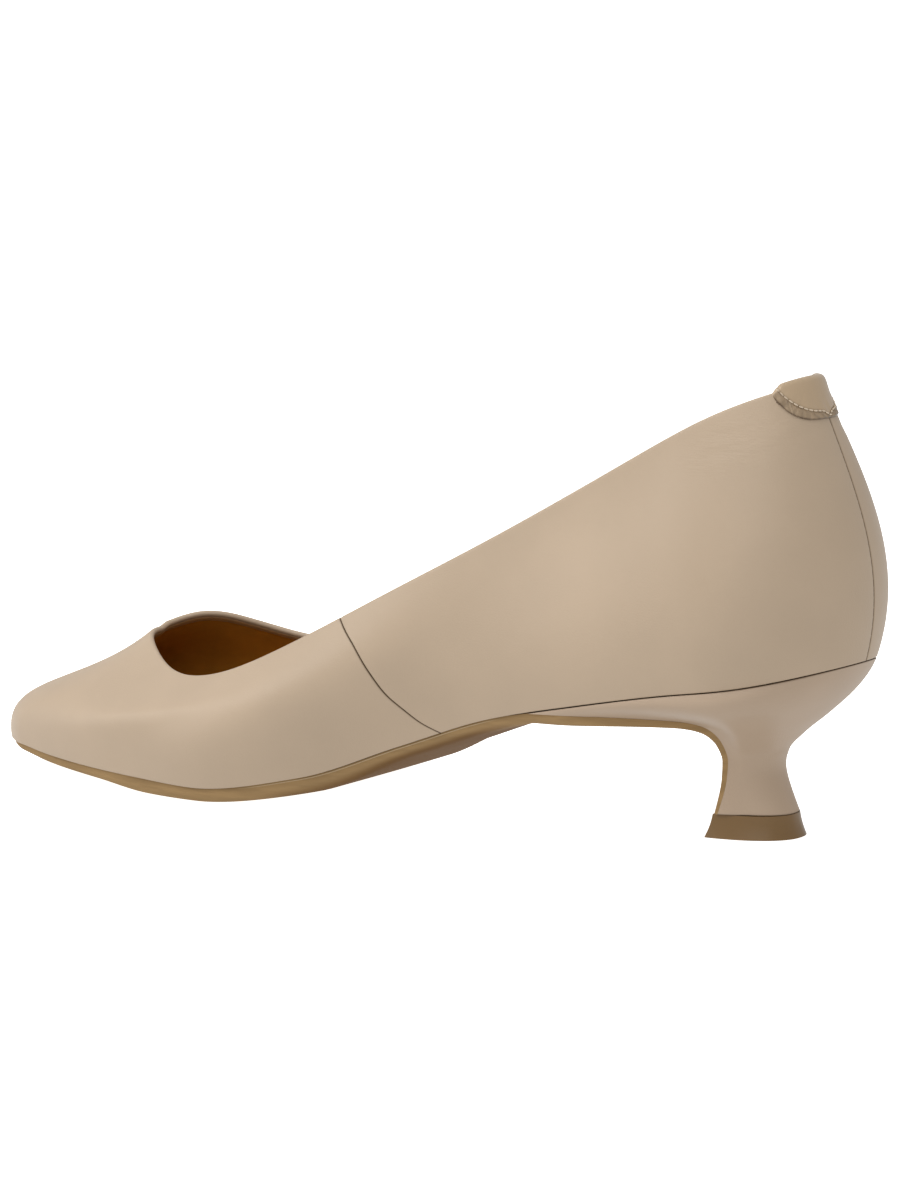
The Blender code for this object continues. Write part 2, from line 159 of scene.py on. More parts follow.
# BREAST: place down the front of the heel, and thickness of the sole there as a share of BREAST_T
BREAST = (
    ("down", "thick"),
    (0.00, 1.60), (0.12, 1.45), (0.28, 1.15), (0.45, 1.25), (0.75, 1.10), (1.00, 0.65),
)

# SEAM: height up the side as a share, and the side seam's place from toe to heel
SEAM = (
    ("up", "at"),
    (0, 0.5556), (0.075, 0.5444), (0.167, 0.5333), (0.279, 0.5194), (0.438, 0.5014),
    (0.6, 0.4819), (0.779, 0.4583), (0.929, 0.4375), (1, 0.4290),
)

# Gap between pieces that touch, and how far the sole's upper face stands up inside the leather
CLOSE = 0.00004
SOLE_UP = 0.0001

# The outer leather: its thickness, the rounding of its edges at seams and at the sole, how far
# it folds in over the topline, how dark the painted shade on the fold is, and the width of the
# painted shade along the seams and joints
SKIN_T = 0.0006
SEAM_ROUND = 0.00050
FEATHER_ROUND = 0.00035
FOLD_IN = 0.0003
FOLD_SHADE = 0.5
EDGE_SHADE = 0.00022

# The inside: a band below the topline, with its start, end and thickness, the lining, which
# starts a little under the band, and the insole cover with its dish
BAND_FROM, BAND_TO = 0.0010, 0.0027
BAND_T = 0.00018
LINING_T = 0.0004
LINING_UNDER = 0.0006
SOCK_DOWN = 0.0004
SOCK_DISH = 0.0007
SOCK_WALL = 0.7

# Rounding of the heel's edges at the seat and on the lift, and of the lift's own edges, and how
# far the lift's sides are hollowed
HEEL_EDGE_ROUND = 0.00035
HEEL_FOOT_ROUND = 0.0002
LIFT_ROUND = 0.00035
LIFT_HOLLOW = 0.0002

# The sole's fine lip: its depth below the seam, how far it stands out and the places along the
# sole where it starts, is full, fades and ends, with the painted highlight along it
LIP_DEEP = 0.00045
LIP_OUT = 0.0002
LIP_SPAN = (0.36, 0.42, 0.62, 0.66)
# The painted shade under the waist: its places along the sole, and shares of the edge's depth
# where it starts and is full
WAIST_SPAN = (0.36, 0.44, 0.60, 0.70)
BELLY_FROM, BELLY_TO = 0.45, 1.05
# Shares of the way down the front of the heel by which the sole has its full width and thickness
TRIM_BLEND = 0.06
BREAST_BLEND = 0.2
# How short of WING_AT the sections under the foot stop, as a share of length
WING_LAP = 0.003

# The heel tab: reach each way from the centre back as a share of the side, depth outside, inside
# and at the ends, and the power of its lower edge
TAB_REACH = 0.1120
TAB_DEEP = 0.0087
TAB_LIP = 0.0040
TAB_LEAST = 0.0012
TAB_POWER = 4
# Its height over the upper at the rim and at the top, its wall, the places from the middle to an
# end where it starts to sink and to meet the topline, and how far it sinks
TAB_SKIN = 0.00045
TAB_CROWN = 0.00085
TAB_WALL = 0.0003
TAB_SINK_AT, TAB_SINK = 0.84, 1.15
TAB_TOP_AT = 0.78
# Its rounded rim, and the size, rise and height of the rim's bumps
RIM_ROUND = 0.0003
RIM_BUMP = 0.0007
RIM_RISE = 0.00006
RIM_HIGH = 0.00028
# Its stitched line: reach as TAB_REACH, depth, dip at the back seam, its groove, the width of the
# painted shade in the groove, and puckers
STITCH_REACH = 0.1000
STITCH_DEEP = 0.0070
STITCH_DIP = 0.0011
GROOVE_DEEP = 0.00018
GROOVE_WIDE = 0.00035
GROOVE_SHADE = 0.0003
PUCKER = 0.00012

# Stitches: spacing, length and thickness. The tab's stand a little over it, the back seam's lie
# in the seam.
STITCH_SIZES = ("Spacing", "Stitch Length", "Thickness")
TAB_STITCH = (0.0013, 0.0012, 0.00044)
BACK_STITCH = (0.0022, 0.0008, 0.0003)
STITCH_UP = 0.00002
BACK_STITCH_IN = 0.00022

# Distances in from an edge at which a surface has its rows, as shares of the edge's rounding
NEAR_EDGE = np.array([0.0, 0.06, 0.16, 0.32, 0.55, 0.80, 1.10, 1.70, 2.8])


def spans(x, xs, ys):
    """x kept within the rows of a table, the span it is in, and the spans' steps and slopes."""
    x = np.clip(x, xs[0], xs[-1])
    i = np.clip(np.searchsorted(xs, x, side="right") - 1, 0, len(xs) - 2)
    return x, i, np.diff(xs), np.diff(ys) / np.diff(xs)


def smooth(x, xs, ys):
    """Cubic through table rows that stays level between equal rows."""
    x, i, step, slope = spans(x, xs, ys)
    lean = np.zeros_like(ys)
    keep = slope[:-1] * slope[1:] > 0
    lean[1:-1][keep] = 2 * (slope[:-1] * slope[1:])[keep] / (slope[:-1] + slope[1:])[keep]
    lean[0] = 1.5 * slope[0] - 0.5 * lean[1]
    lean[-1] = 1.5 * slope[-1] - 0.5 * lean[-2]
    t = (x - xs[i]) / step[i]
    first = (1 + 2 * t) * (1 - t) ** 2 * ys[i] + t * (1 - t) ** 2 * step[i] * lean[i]
    return first + t * t * (3 - 2 * t) * ys[i + 1] + t * t * (t - 1) * step[i] * lean[i + 1]


def fair(x, xs, ys):
    """Spline through table rows with an even curvature."""
    x, i, step, slope = spans(x, xs, ys)
    bend = np.eye(len(xs))
    rise = np.zeros(len(xs))
    for k in range(1, len(xs) - 1):
        bend[k, k - 1 : k + 2] = step[k - 1], 2 * (step[k - 1] + step[k]), step[k]
        rise[k] = 6 * (slope[k] - slope[k - 1])
    turn = np.linalg.solve(bend, rise)
    a, b = (xs[i + 1] - x) / step[i], (x - xs[i]) / step[i]
    curve = ((a**3 - a) * turn[i] + (b**3 - b) * turn[i + 1]) * step[i] ** 2 / 6
    return a * ys[i] + b * ys[i + 1] + curve


def column(table, name, x, through=smooth):
    """Value of the named column of a table at x, which runs along the first column."""
    rows = np.array(table[1:])
    return through(x, rows[:, 0], rows[:, table[0].index(name)])


def unit(v):
    return v / (np.linalg.norm(v, axis=-1, keepdims=True) + 1e-15)


def ease(x):
    """0 to 1 with level ends."""
    x = np.clip(x, 0, 1)
    return x * x * (3 - 2 * x)


def plateau(x, start, full, fade, end):
    """0 outside start to end, 1 from full to fade and eased between them."""
    return ease((x - start) / (full - start)) * ease((end - x) / (end - fade))


def end_round(s, toe, back):
    """1 along the middle of an outline, down to 0 at its two rounded ends."""
    a = np.clip(1 - s / toe, 0, 1)
    b = np.clip(1 - (1 - s) / back, 0, 1)
    return np.sqrt(np.clip(1 - a**2, 0, 1)) * np.sqrt(np.clip(1 - b**2, 0, 1))


def along(at):
    """Place along an outline for a column from 0 at the toe to 1 at the back."""
    return (1 - np.cos(np.pi * np.asarray(at, float))) / 2


def centre_y(s):
    """The toe points a little to the inner side."""
    return -TIP_SHIFT * np.clip(1 - s / 0.35, 0, 1) ** 2


def feather_z(s):
    return SOLE_T + (HEEL_H - SOLE_T) * column(SOLE, "rise", s)


def sole_half(side, s):
    return BALL * column(SOLE, "inner" if side < 0 else "outer", s, fair)


def feather(side, at):
    """The line where the upper meets the sole. side is -1 for inner, 1 for outer."""
    s = along(at)
    y = centre_y(s) + side * sole_half(side, s) * end_round(s, TOE_ROUND, SEAT_ROUND)
    return np.stack([s * LENGTH, y, feather_z(s)], -1)


def topline(side, at):
    s = along(at)
    name = "inner" if side < 0 else "outer"
    half = BALL * column(TOP, name, s, fair) * end_round(s, THROAT_ROUND, COLLAR_ROUND)
    x = VAMP + (LENGTH - BACK_LEAN - VAMP) * s
    z = INSTEP_H + (BACK_TOP - INSTEP_H) * column(TOP, name + "_rise", s, fair)
    if side > 0:
        share = np.asarray(at) / THROAT_UP_TO
        z = z + THROAT_UP * ease(4 * share) * ease(1.6 - 1.6 * share)
    return np.stack([x, centre_y(x / LENGTH) + side * half, z], -1)


# A place on the upper is v, which runs right round it (0 at the toe, 1 at the centre back and 2
# at the toe again, the inner side first), and t, from 0 on the sole to 1 on the topline.
def round_line(line, v):
    v = np.mod(v, 2)
    inner, outer = line(-1, np.minimum(v, 1)), line(1, np.minimum(2 - v, 1))
    return np.where((v <= 1)[..., None], inner, outer)


def level_out(line, v):
    """Level directions out of the shoe along a line round it."""
    d = round_line(line, v + 0.02) - round_line(line, v - 0.02)
    return unit(np.stack([d[..., 1], -d[..., 0], 0 * d[..., 0]], -1))


def skin(v, t):
    """Points of the upper's outer face."""
    v, t = np.broadcast_arrays(np.asarray(v, float), np.asarray(t, float))
    at = 1 - np.abs(1 - np.mod(v, 2))
    low, high = round_line(feather, v), round_line(topline, v)
    splay = np.radians(column(RIBS, "splay", at, fair))[..., None]
    lean = np.radians(column(RIBS, "lean", at, fair))[..., None]
    up = np.array([0.0, 0.0, 1.0])
    start = level_out(feather, v) * np.sin(splay) + up * np.cos(splay)
    end = -level_out(topline, v) * np.sin(lean) + up * np.cos(lean)
    chord = np.linalg.norm(high - low, axis=-1)[..., None]
    a = low + start * chord * column(RIBS, "low", at)[..., None]
    b = high - end * chord * column(RIBS, "high", at)[..., None]
    t = t[..., None]
    return (1 - t) ** 3 * low + 3 * (1 - t) ** 2 * t * a + 3 * (1 - t) * t * t * b + t**3 * high


def skin_frame(v, t):
    """Points of the outer face with their directions out of it and up it."""
    step = 0.004
    v, t = np.broadcast_arrays(np.asarray(v, float), np.asarray(t, float))
    around = skin(v + step, t) - skin(v - step, t)
    up = skin(v, np.minimum(t + step, 1)) - skin(v, np.maximum(t - step, 0))
    return skin(v, t), unit(np.cross(around, up)), unit(up)


def rib_length(v):
    """Length of the upper's side from the sole to the topline at v."""
    points = skin(np.asarray(v, float)[..., None], np.linspace(0, 1, 24))
    return np.linalg.norm(np.diff(points, axis=-2), axis=-1).sum(-1)


def rolled(distance, radius):
    """How deep a surface lies at a distance in from its rounded edge."""
    x = np.clip(distance, 0, radius)
    return radius - np.sqrt(np.maximum(radius**2 - (radius - x) ** 2, 0))


def distance_to(points, line):
    """Distance of each point to a line of points, and its place along the line in metres."""
    flat = points.reshape(-1, 3)
    best = np.full(len(flat), np.inf)
    place = np.zeros(len(flat))
    gone = 0.0
    for a, b in zip(line[:-1], line[1:]):
        length = np.linalg.norm(b - a)
        k = np.clip((flat - a) @ (b - a) / length**2, 0, 1)
        d = np.linalg.norm(flat - a - k[:, None] * (b - a), axis=1)
        near = d < best
        best[near], place[near] = d[near], gone + k[near] * length
        gone += length
    return best.reshape(points.shape[:-1]), place.reshape(points.shape[:-1])


# CREASES: the places on the upper where each soft crease starts, turns and ends, as v and t,
# and its width and depth. A negative depth is a ridge.
CREASES = (
    (((0.800, 0.925), (0.835, 0.900), (0.868, 0.885)), 0.0011, 0.00018),
    (((0.815, 0.880), (0.845, 0.862), (0.880, 0.850)), 0.0010, 0.00016),
    (((0.790, 0.870), (0.820, 0.842), (0.850, 0.826)), 0.0012, 0.00014),
    (((0.835, 0.820), (0.865, 0.806), (0.890, 0.800)), 0.0012, 0.00007),
    (((0.905, 0.842), (0.940, 0.828), (0.975, 0.826)), 0.0016, 0.00012),
    (((0.880, 0.862), (0.905, 0.846), (0.930, 0.840)), 0.0012, -0.00006),
    (((1.025, 0.826), (1.060, 0.830), (1.100, 0.846)), 0.0016, 0.00012),
    (((1.130, 0.880), (1.165, 0.900), (1.200, 0.922)), 0.0013, 0.00010),
    (((1.115, 0.845), (1.150, 0.860), (1.185, 0.885)), 0.0012, 0.00008),
    (((1.120, 0.805), (1.150, 0.815), (1.175, 0.830)), 0.0013, 0.00007),
)


def creased(points, out):
    """Presses the soft creases into points of the outer face."""
    depth = np.zeros(points.shape[:-1])
    for places, width, deep in CREASES:
        v, t = np.array(places).T
        share = np.linspace(0, 1, 13)
        line = skin(np.interp(share, (0, 0.5, 1), v), np.interp(share, (0, 0.5, 1), t))
        far, place = distance_to(points, line)
        length = np.linalg.norm(np.diff(line, axis=0), axis=1).sum()
        ends = ease(4 * place / length) * ease(4 * (1 - place / length))
        depth += deep * np.exp(-((far / width) ** 2)) * ends
    return points - out * depth[..., None]


# Where fine wrinkles show, near the top of both quarters: middle and reach, as v and t
WORN_AT, WORN_WIDE = 0.86, 0.075
WORN_UP, WORN_HIGH = 0.86, 0.085


# Mesh making
def band_faces(rows, columns, around=False):
    """Quads of a grid of points, facing along columns x rows. around closes each row."""
    r = np.arange(rows - 1)[:, None] * columns
    c = np.arange(columns if around else columns - 1)[None]
    d = (c + 1) % columns
    return np.stack([r + c, r + d, r + columns + d, r + columns + c], -1).reshape(-1, 4).tolist()


def ladder(left, right, upwards):
    """Faces across a ring, between two lists of points that run side by side."""
    faces = []
    for i in range(len(left) - 1):
        face = list(dict.fromkeys([left[i], left[i + 1], right[i + 1], right[i]]))
        faces.append(face if upwards else face[::-1])
    return faces


def add_object(name, data):
    thing = bpy.data.objects.new(name, data)
    bpy.context.scene.collection.objects.link(thing)
    return thing


def new_mesh(name, points, edges=(), faces=()):
    mesh = bpy.data.meshes.new(name)
    mesh.from_pydata([tuple(p) for p in points], edges, faces)
    return mesh


def make(name, points, faces, material, stands_for, wall=0.0, values=None, sharp=35):
    """One piece of the shoe. wall is added to one side of an open surface: inwards if negative."""
    mesh = new_mesh(name, np.asarray(points, float).reshape(-1, 3) - origin, faces=faces)
    for key, value in (values or {}).items():
        attribute = mesh.attributes.new(key, "FLOAT", "POINT")
        attribute.data.foreach_set("value", np.ascontiguousarray(value, np.float32).ravel())
    mesh.shade_smooth()
    mesh.set_sharp_from_angle(angle=np.radians(sharp))
    mesh.materials.append(material)
    piece = add_object(name, mesh)
    if wall:
        solidify = piece.modifiers.new("wall", "SOLIDIFY")
        solidify.thickness = abs(wall)
        solidify.offset = np.sign(wall)
        solidify.use_even_offset = False
    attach(piece, "root")
    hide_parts(stands_for)
    return piece


# Node and material making
class Value:
    """An output of a node. It adds, subtracts and multiplies like a number."""

    def __init__(self, tree, socket=None):
        self.tree, self.socket = tree, socket

    def node(self, kind, settings=(), inputs=(), output=0):
        """A new node of a kind: its settings, then its inputs by name or number."""
        node = self.tree.nodes.new(kind)
        for key, value in dict(settings).items():
            setattr(node, key, value)
        for key, value in dict(inputs).items():
            if isinstance(value, Value):
                self.tree.links.new(value.socket, node.inputs[key])
            else:
                node.inputs[key].default_value = value
        return Value(self.tree, node.outputs[output])

    def _math(self, operation, a, b):
        vectors = [x for x in (a, b) if isinstance(x, Value) and x.socket.type == "VECTOR"]
        kind = "ShaderNodeVectorMath" if vectors else "ShaderNodeMath"
        return self.node(kind, {"operation": operation}, {0: a, 1: b})

    def __add__(self, other):
        return self._math("ADD", self, other)

    def __radd__(self, other):
        return self._math("ADD", other, self)

    def __sub__(self, other):
        return self._math("SUBTRACT", self, other)

    def __rsub__(self, other):
        return self._math("SUBTRACT", other, self)

    def __mul__(self, other):
        return self._math("MULTIPLY", self, other)

    def __rmul__(self, other):
        return self._math("MULTIPLY", other, self)

    def ramp(self, low, high):
        """0 below low, 1 above high and a smooth step between them."""
        settings = {"interpolation_type": "SMOOTHSTEP"}
        return self.node("ShaderNodeMapRange", settings, {0: self, 1: low, 2: high})

    def mix(self, a, b):
        """Colour a where this is 0 and b where it is 1."""
        return self.node("ShaderNodeMix", {"data_type": "RGBA"}, {0: self, 6: a, 7: b}, 2)

    def attribute(self, name):
        return self.node("ShaderNodeAttribute", {"attribute_name": name}, (), "Fac")

    def noise(self, place, scale, detail=2.0, rough=0.5):
        inputs = {"Vector": place, "Scale": scale, "Detail": detail, "Roughness": rough}
        return self.node("ShaderNodeTexNoise", (), inputs)

    def bump(self, height, strength, distance):
        inputs = {"Strength": strength, "Distance": distance, "Height": height}
        return self.node("ShaderNodeBump", (), inputs)


def new_material(name, colour, roughness, coat=0.0, coat_roughness=0.3, specular=0.5):
    """A new material with its constants set: its node maker, its shader and where it is."""
    material = bpy.data.materials.new(name)
    material.use_nodes = True
    shader = material.node_tree.nodes["Principled BSDF"]
    constants = {
        "Base Color": (*colour, 1),
        "Roughness": roughness,
        "Coat Weight": coat,
        "Coat Roughness": coat_roughness,
        "Specular IOR Level": specular,
    }
    for key, value in constants.items():
        shader.inputs[key].default_value = value
    maker = Value(material.node_tree)
    place = maker.node("ShaderNodeTexCoord", (), (), "Object")
    return material, maker, shader, place


def feed(shader, name, value):
    value.tree.links.new(value.socket, shader.inputs[name])


def shade(colour, by):
    return tuple(c * by for c in colour) + (1.0,)


def add_grain(maker, shader, place, scale, strength):
    height = maker.noise(place, scale, detail=3.0, rough=0.6)
    feed(shader, "Normal", maker.bump(height, strength, distance=0.0003))


def leather(name, colour, roughness, coat):
    """Smooth leather: a fine grain, wrinkles where it is worn, an uneven tone, and painted shade
    along seams, joints and the fold where the edge attribute is set, which also darkens the tab's
    rim.
    """
    material, maker, shader, place = new_material(
        name, colour, roughness, coat, coat_roughness=0.25, specular=0.4
    )
    cloud = maker.noise(place, scale=28.0, detail=3.0, rough=0.55)
    tone = cloud.ramp(0.3, 0.7).mix(shade(colour, 0.965), shade(colour, 1.03))
    # Painted shade: the colour goes dark brown where the edge attribute is set, along seams,
    # joints, the fold over the topline and the tab's groove and lower edge, and on the tab's darker
    # rim
    feed(shader, "Base Color", maker.attribute("edge").mix(tone, PAINTED_SHADE_AND_RIM_BROWN + (1.0,)))
    cells = {"Vector": place, "Scale": 1500.0}
    grain = maker.node("ShaderNodeTexVoronoi", {"feature": "DISTANCE_TO_EDGE"}, cells)
    pebbles = grain.ramp(0.0, 0.35)
    soft = maker.noise(place, scale=620.0, detail=3.0, rough=0.6)
    wide = maker.noise(place, scale=90.0)
    stretched = maker.node("ShaderNodeMapping", (), {"Vector": place, "Scale": (1.0, 1.0, 5.0)})
    wrinkles = maker.attribute("worn") * maker.noise(stretched, scale=330.0)
    height = pebbles * 0.4 + soft * 0.6 + wide * 0.8 + wrinkles * 11.0
    feed(shader, "Normal", maker.bump(height, strength=0.10, distance=0.0004))
    feed(shader, "Roughness", roughness + (wide - 0.5) * 0.12)
    return material


# Dark brown of the painted shade along seams, joints and the fold, also used for the tab's darker
# rim
PAINTED_SHADE_AND_RIM_BROWN = (0.090, 0.052, 0.024)
BEIGE = (0.500, 0.382, 0.268)
HEEL_BEIGE = (0.470, 0.352, 0.250)
TAB_BEIGE = (0.485, 0.355, 0.225)
BROWN = (0.400, 0.180, 0.022)
BAND_BROWN = (0.300, 0.175, 0.080)
TAN = (0.342, 0.219, 0.102)
# Painted shade under the sole's waist
WAIST_SHADE_BROWN = (0.155, 0.074, 0.017)
# Painted highlight along the sole's lip
LIP_HIGHLIGHT_TAN = (0.560, 0.430, 0.280)
LIFT_BROWN = (0.195, 0.108, 0.034)
THREAD = (0.700, 0.570, 0.420)
SEAM_THREAD = (0.300, 0.210, 0.130)

upper_leather = leather("upper_leather", BEIGE, 0.44, 0.06)
heel_leather = leather("heel_leather", HEEL_BEIGE, 0.46, 0.05)
tab_leather = leather("tab_leather", TAB_BEIGE, 0.32, 0.20)


def lining_leather():
    name = "lining_leather"
    material, maker, shader, place = new_material(name, BROWN, roughness=0.6, specular=0.15)
    cloud = maker.noise(place, scale=45.0, detail=3.0, rough=0.6)
    feed(shader, "Base Color", cloud.ramp(0.3, 0.7).mix(shade(BROWN, 0.88), shade(BROWN, 1.12)))
    add_grain(maker, shader, place, scale=700.0, strength=0.15)
    return material


def sole_leather():
    """Tan sole with painted shade under the waist and a painted highlight along the fine lip."""
    material, maker, shader, place = new_material("sole_leather", TAN, roughness=0.6, specular=0.06)
    stretched = maker.node("ShaderNodeMapping", (), {"Vector": place, "Scale": (1.0, 1.0, 9.0)})
    cloud = maker.noise(stretched, scale=60.0, detail=3.0, rough=0.6)
    tone = cloud.ramp(0.3, 0.7).mix(shade(TAN, 0.90), shade(TAN, 1.10))
    # Painted shade under the waist, darker towards the bottom of the sole's edge
    tone = maker.attribute("belly").mix(tone, WAIST_SHADE_BROWN + (1.0,))
    # Painted highlight along the lip
    feed(shader, "Base Color", maker.attribute("lip").mix(tone, LIP_HIGHLIGHT_TAN + (1.0,)))
    add_grain(maker, shader, stretched, scale=500.0, strength=0.12)
    return material


def plain_material(name, colour, roughness, coat=0.0, grain=600.0, strength=0.1):
    material, maker, shader, place = new_material(name, colour, roughness, coat)
    add_grain(maker, shader, place, grain, strength)
    return material


brown_leather = lining_leather()
tan_leather = sole_leather()
band_leather = plain_material("band_leather", BAND_BROWN, roughness=0.5)
lift_rubber = plain_material(
    "lift_rubber", LIFT_BROWN, roughness=0.34, coat=0.06, grain=300.0, strength=0.04
)
thread = plain_material("thread", THREAD, 0.45, coat=0.2, grain=3000.0, strength=0.3)

lift_low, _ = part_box("heel_lift")
origin = np.array([LIFT_FRONT - lift_low[0], -LIFT_HALF - lift_low[1], 0.0])

SIDE_FINE, ROWS_FINE = ((110, 62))


# Outer panels of the upper
def side_seam(t):
    """Place of the side seam from toe to heel at the height t."""
    return column(SEAM, "at", t, fair)


def panel_points(left, right, columns):
    """Grid of a panel between two seams, each a place v at a height t."""
    near = NEAR_EDGE * SEAM_ROUND
    share = np.linspace(0, 1, columns + 2)[1:-1]
    middle = left(0.5) + (right(0.5) - left(0.5)) * np.concatenate([near * 0, share, 1 + near * 0])
    length = rib_length(middle)
    foot = NEAR_EDGE * FEATHER_ROUND
    top = 1 - WALL / 2 / length
    heights = np.linspace(0, 1, ROWS_FINE + 2)[1:-1, None]
    low = foot[:, None] / length
    t = np.vstack([low, low[-1] + (top - low[-1]) * heights, top[None]])
    at_left, at_right = left(t[:, :1]), right(t[:, :1])
    step = 0.002
    left_size, right_size = (
        np.linalg.norm(skin(at + step, t[:, :1]) - skin(at - step, t[:, :1]), axis=-1) / (2 * step)
        for at in (at_left, at_right)
    )
    first = at_left + near / left_size
    last = (at_right - near / right_size)[:, ::-1]
    between = first[:, -1:] + (last[:, :1] - first[:, -1:]) * share
    v = np.hstack([first, between, last])
    from_left = (v - at_left) * left_size
    from_right = (at_right - v) * right_size
    from_edge = np.minimum(np.abs(from_left), np.abs(from_right))
    points, out, up = skin_frame(v, t)
    points = creased(points, out)
    sunk = np.maximum(rolled(from_edge, SEAM_ROUND), rolled(t * length, FEATHER_ROUND))
    grid = [points - out * sunk[..., None]]
    # Painted shade along the seams, darkest at the panel's edge
    edge = [np.exp(-((from_edge / EDGE_SHADE) ** 2))]
    worn = sum(np.exp(-(((v - at) / WORN_WIDE) ** 2)) for at in (WORN_AT, 2 - WORN_AT))
    worn = worn * np.exp(-(((t - WORN_UP) / WORN_HIGH) ** 2))
    # Over the topline and down inside, with painted shade that grows as the fold turns inside
    away, rise, last_row = out[-1], up[-1], points[-1]
    around = WALL / 2 - rolled(from_edge[-1], SEAM_ROUND)[:, None]
    centre = last_row - away * WALL / 2
    for turn in np.linspace(0, np.pi, 13)[1:]:
        grid.append((centre + around * (np.cos(turn) * away + np.sin(turn) * rise))[None])
        edge.append(np.maximum(edge[0][-1:], FOLD_SHADE * ease(turn / np.pi * 2.2 - 1.2)))
    for down in (0.4, 1.0):
        grid.append((centre - around * away - rise * FOLD_IN * down)[None])
        edge.append(np.maximum(edge[0][-1:], FOLD_SHADE))
    edge = np.vstack(edge)
    worn = np.vstack([worn, np.repeat(worn[-1:], len(edge) - len(worn), axis=0)])
    return np.vstack(grid), {"edge": edge, "worn": worn}


def make_panel(name, left, right, columns):
    points, values = panel_points(left, right, columns)
    faces = band_faces(*points.shape[:2])
    make(name, points, faces, upper_leather, "upper", -SKIN_T, values)


make_panel("vamp", lambda t: -side_seam(t), side_seam, 2 * SIDE_FINE)
make_panel("inner_quarter", side_seam, lambda t: 1 + 0 * t, SIDE_FINE)
make_panel("outer_quarter", lambda t: 1 + 0 * t, lambda t: 2 - side_seam(t), SIDE_FINE)


# Inside of the upper
def make_inside():
    columns = 4 * SIDE_FINE
    v = np.arange(columns) * 2 / columns
    length = rib_length(v)

    def rings(heights, depths):
        """Rings round the inside, each at its own heights t and depth below the outer face."""
        grid = []
        for t, deep in zip(heights, depths):
            points, out, _ = skin_frame(v, t)
            grid.append(points - out * deep)
        return grid

    share = np.array([0, 0.02, 0.06, 0.12, 0.4, 0.7, 0.88, 0.94, 0.98, 1])
    down = BAND_FROM + (BAND_TO - BAND_FROM) * share
    rise = np.array([0.0, 0.5, 0.8, 1.0, 1.0, 1.0, 1.0, 0.8, 0.5, 0.0])
    points = rings(1 - down[:, None] / length, WALL + (2 * rise - 1) * BAND_T)[::-1]
    faces = [face[::-1] for face in band_faces(len(points), columns, True)]
    make("collar_band", points, faces, band_leather, "upper")
    t = np.linspace(0, 1, ROWS_FINE)[:, None] * (1 - (BAND_TO - LINING_UNDER) / length)
    points = rings(t, [WALL - LINING_T] * ROWS_FINE)
    faces = band_faces(ROWS_FINE, columns, True)
    make("lining", points, faces, brown_leather, "upper", -LINING_T)


make_inside()


def make_sock():
    """Insole cover: the footbed seen through the opening, a little dished."""
    columns, rows = 160, 14
    at = np.linspace(0, 1, columns + 1)
    inner, outer = feather(-1, at), feather(1, at)
    out_in, out_out = level_out(feather, at), level_out(feather, 2 - at)
    drop = WALL + JOIN
    inner, outer = inner - out_in * drop, outer - out_out * drop
    inner[[0, -1], 1] -= 1e-5
    outer[[0, -1], 1] += 1e-5
    across = np.sin(np.pi / 2 * np.linspace(-1, 1, rows + 1)) / 2 + 0.5
    grid = inner[None] + (outer - inner)[None] * across[:, None, None]
    dish = SOCK_DISH * (2 * across - 1)[:, None] ** 4
    grid[..., 2] = feather_z(grid[..., 0] / LENGTH) + INSOLE_T - SOCK_DOWN + dish
    faces = [face[::-1] for face in band_faces(rows + 1, columns + 1)]
    make("insole_cover", grid, faces, brown_leather, "insole", -INSOLE_T * SOCK_WALL)


make_sock()


# Heel
def lift_outline(flare):
    """Front, back and half width of the lift, drawn in by flare all round."""
    return LIFT_FRONT + flare, LIFT_FRONT + LIFT_LONG - flare, LIFT_HALF - flare


def heel_ends():
    """Front and back edges of the heel, as (x, z), at the seat and on the lift."""
    seat_front = (WING_AT * LENGTH, float(feather_z(WING_AT)) - CLOSE - WING_GAP)
    seat_back = (LENGTH, HEEL_H - CLOSE)
    front, back, _ = lift_outline(LIFT_FLARE)
    foot = LIFT_H + CLOSE
    return seat_front, seat_back, (front + BREAST_T + JOIN, foot), (back, foot)


def heel_edge(name, down):
    """Front or back edge of the heel in side view."""
    seat_front, seat_back, foot_front, foot_back = heel_ends()
    seat, foot = (seat_front, foot_front) if name == "front" else (seat_back, foot_back)
    x = foot[0] + (seat[0] - foot[0]) * column(HEEL, name + "_x", down)
    z = foot[1] + (seat[1] - foot[1]) * column(HEEL, name + "_z", down)
    return np.stack([x, z], -1)


def heel_front_half(side, down):
    """Half width of the heel at its front edge."""
    x = heel_edge("front", down)[..., 0]
    plain = column(HEEL, "plain", down)
    half = LIFT_HALF * column(HEEL, "front_half", down)
    return (1 - plain) * sole_half(side, x / LENGTH) + plain * half


def heel_side(side, down, u):
    """Points of one side of a heel section, u running from its front edge to its back."""
    front, back = heel_edge("front", down), heel_edge("back", down)
    x = front[0] + (back[0] - front[0]) * u
    plain = column(HEEL, "plain", down)
    seat_share = SEAT_ROUND / (1 - WING_AT)
    share = seat_share + (1 - seat_share) * column(HEEL, "round", down)
    power = 2 + (LIFT_POWER - 2) * ease(2 * down - 1)
    arc = np.clip(1 - np.clip(1 - (1 - u) / share, 0, 1) ** power, 0, 1) ** (1 / power)
    swell = ease(u / 0.5)
    low = LIFT_HALF * column(HEEL, "front_half", down)
    high = LIFT_HALF * column(HEEL, "half", down)
    half = (1 - plain) * sole_half(side, x / LENGTH) + plain * (low + (high - low) * swell)
    seat_z = feather_z(x / LENGTH) - CLOSE
    line = seat_z[0] + (seat_z[-1] - seat_z[0]) * u
    z = front[1] + (back[1] - front[1]) * u + (1 - plain) * (seat_z - line)
    return np.stack([x, side * arc * half, z], -1)


def d_faces(rings, m):
    """Faces of a closed solid of D-shaped rings with m points on each side."""
    count = 2 * m - 1
    inner, outer = list(range(m)), [count - 1 - i for i in range(m)]
    last = (rings - 1) * count
    faces = band_faces(rings, count, True) + ladder(inner, outer, False)
    return faces + ladder([last + i for i in inner], [last + i for i in outer], True)


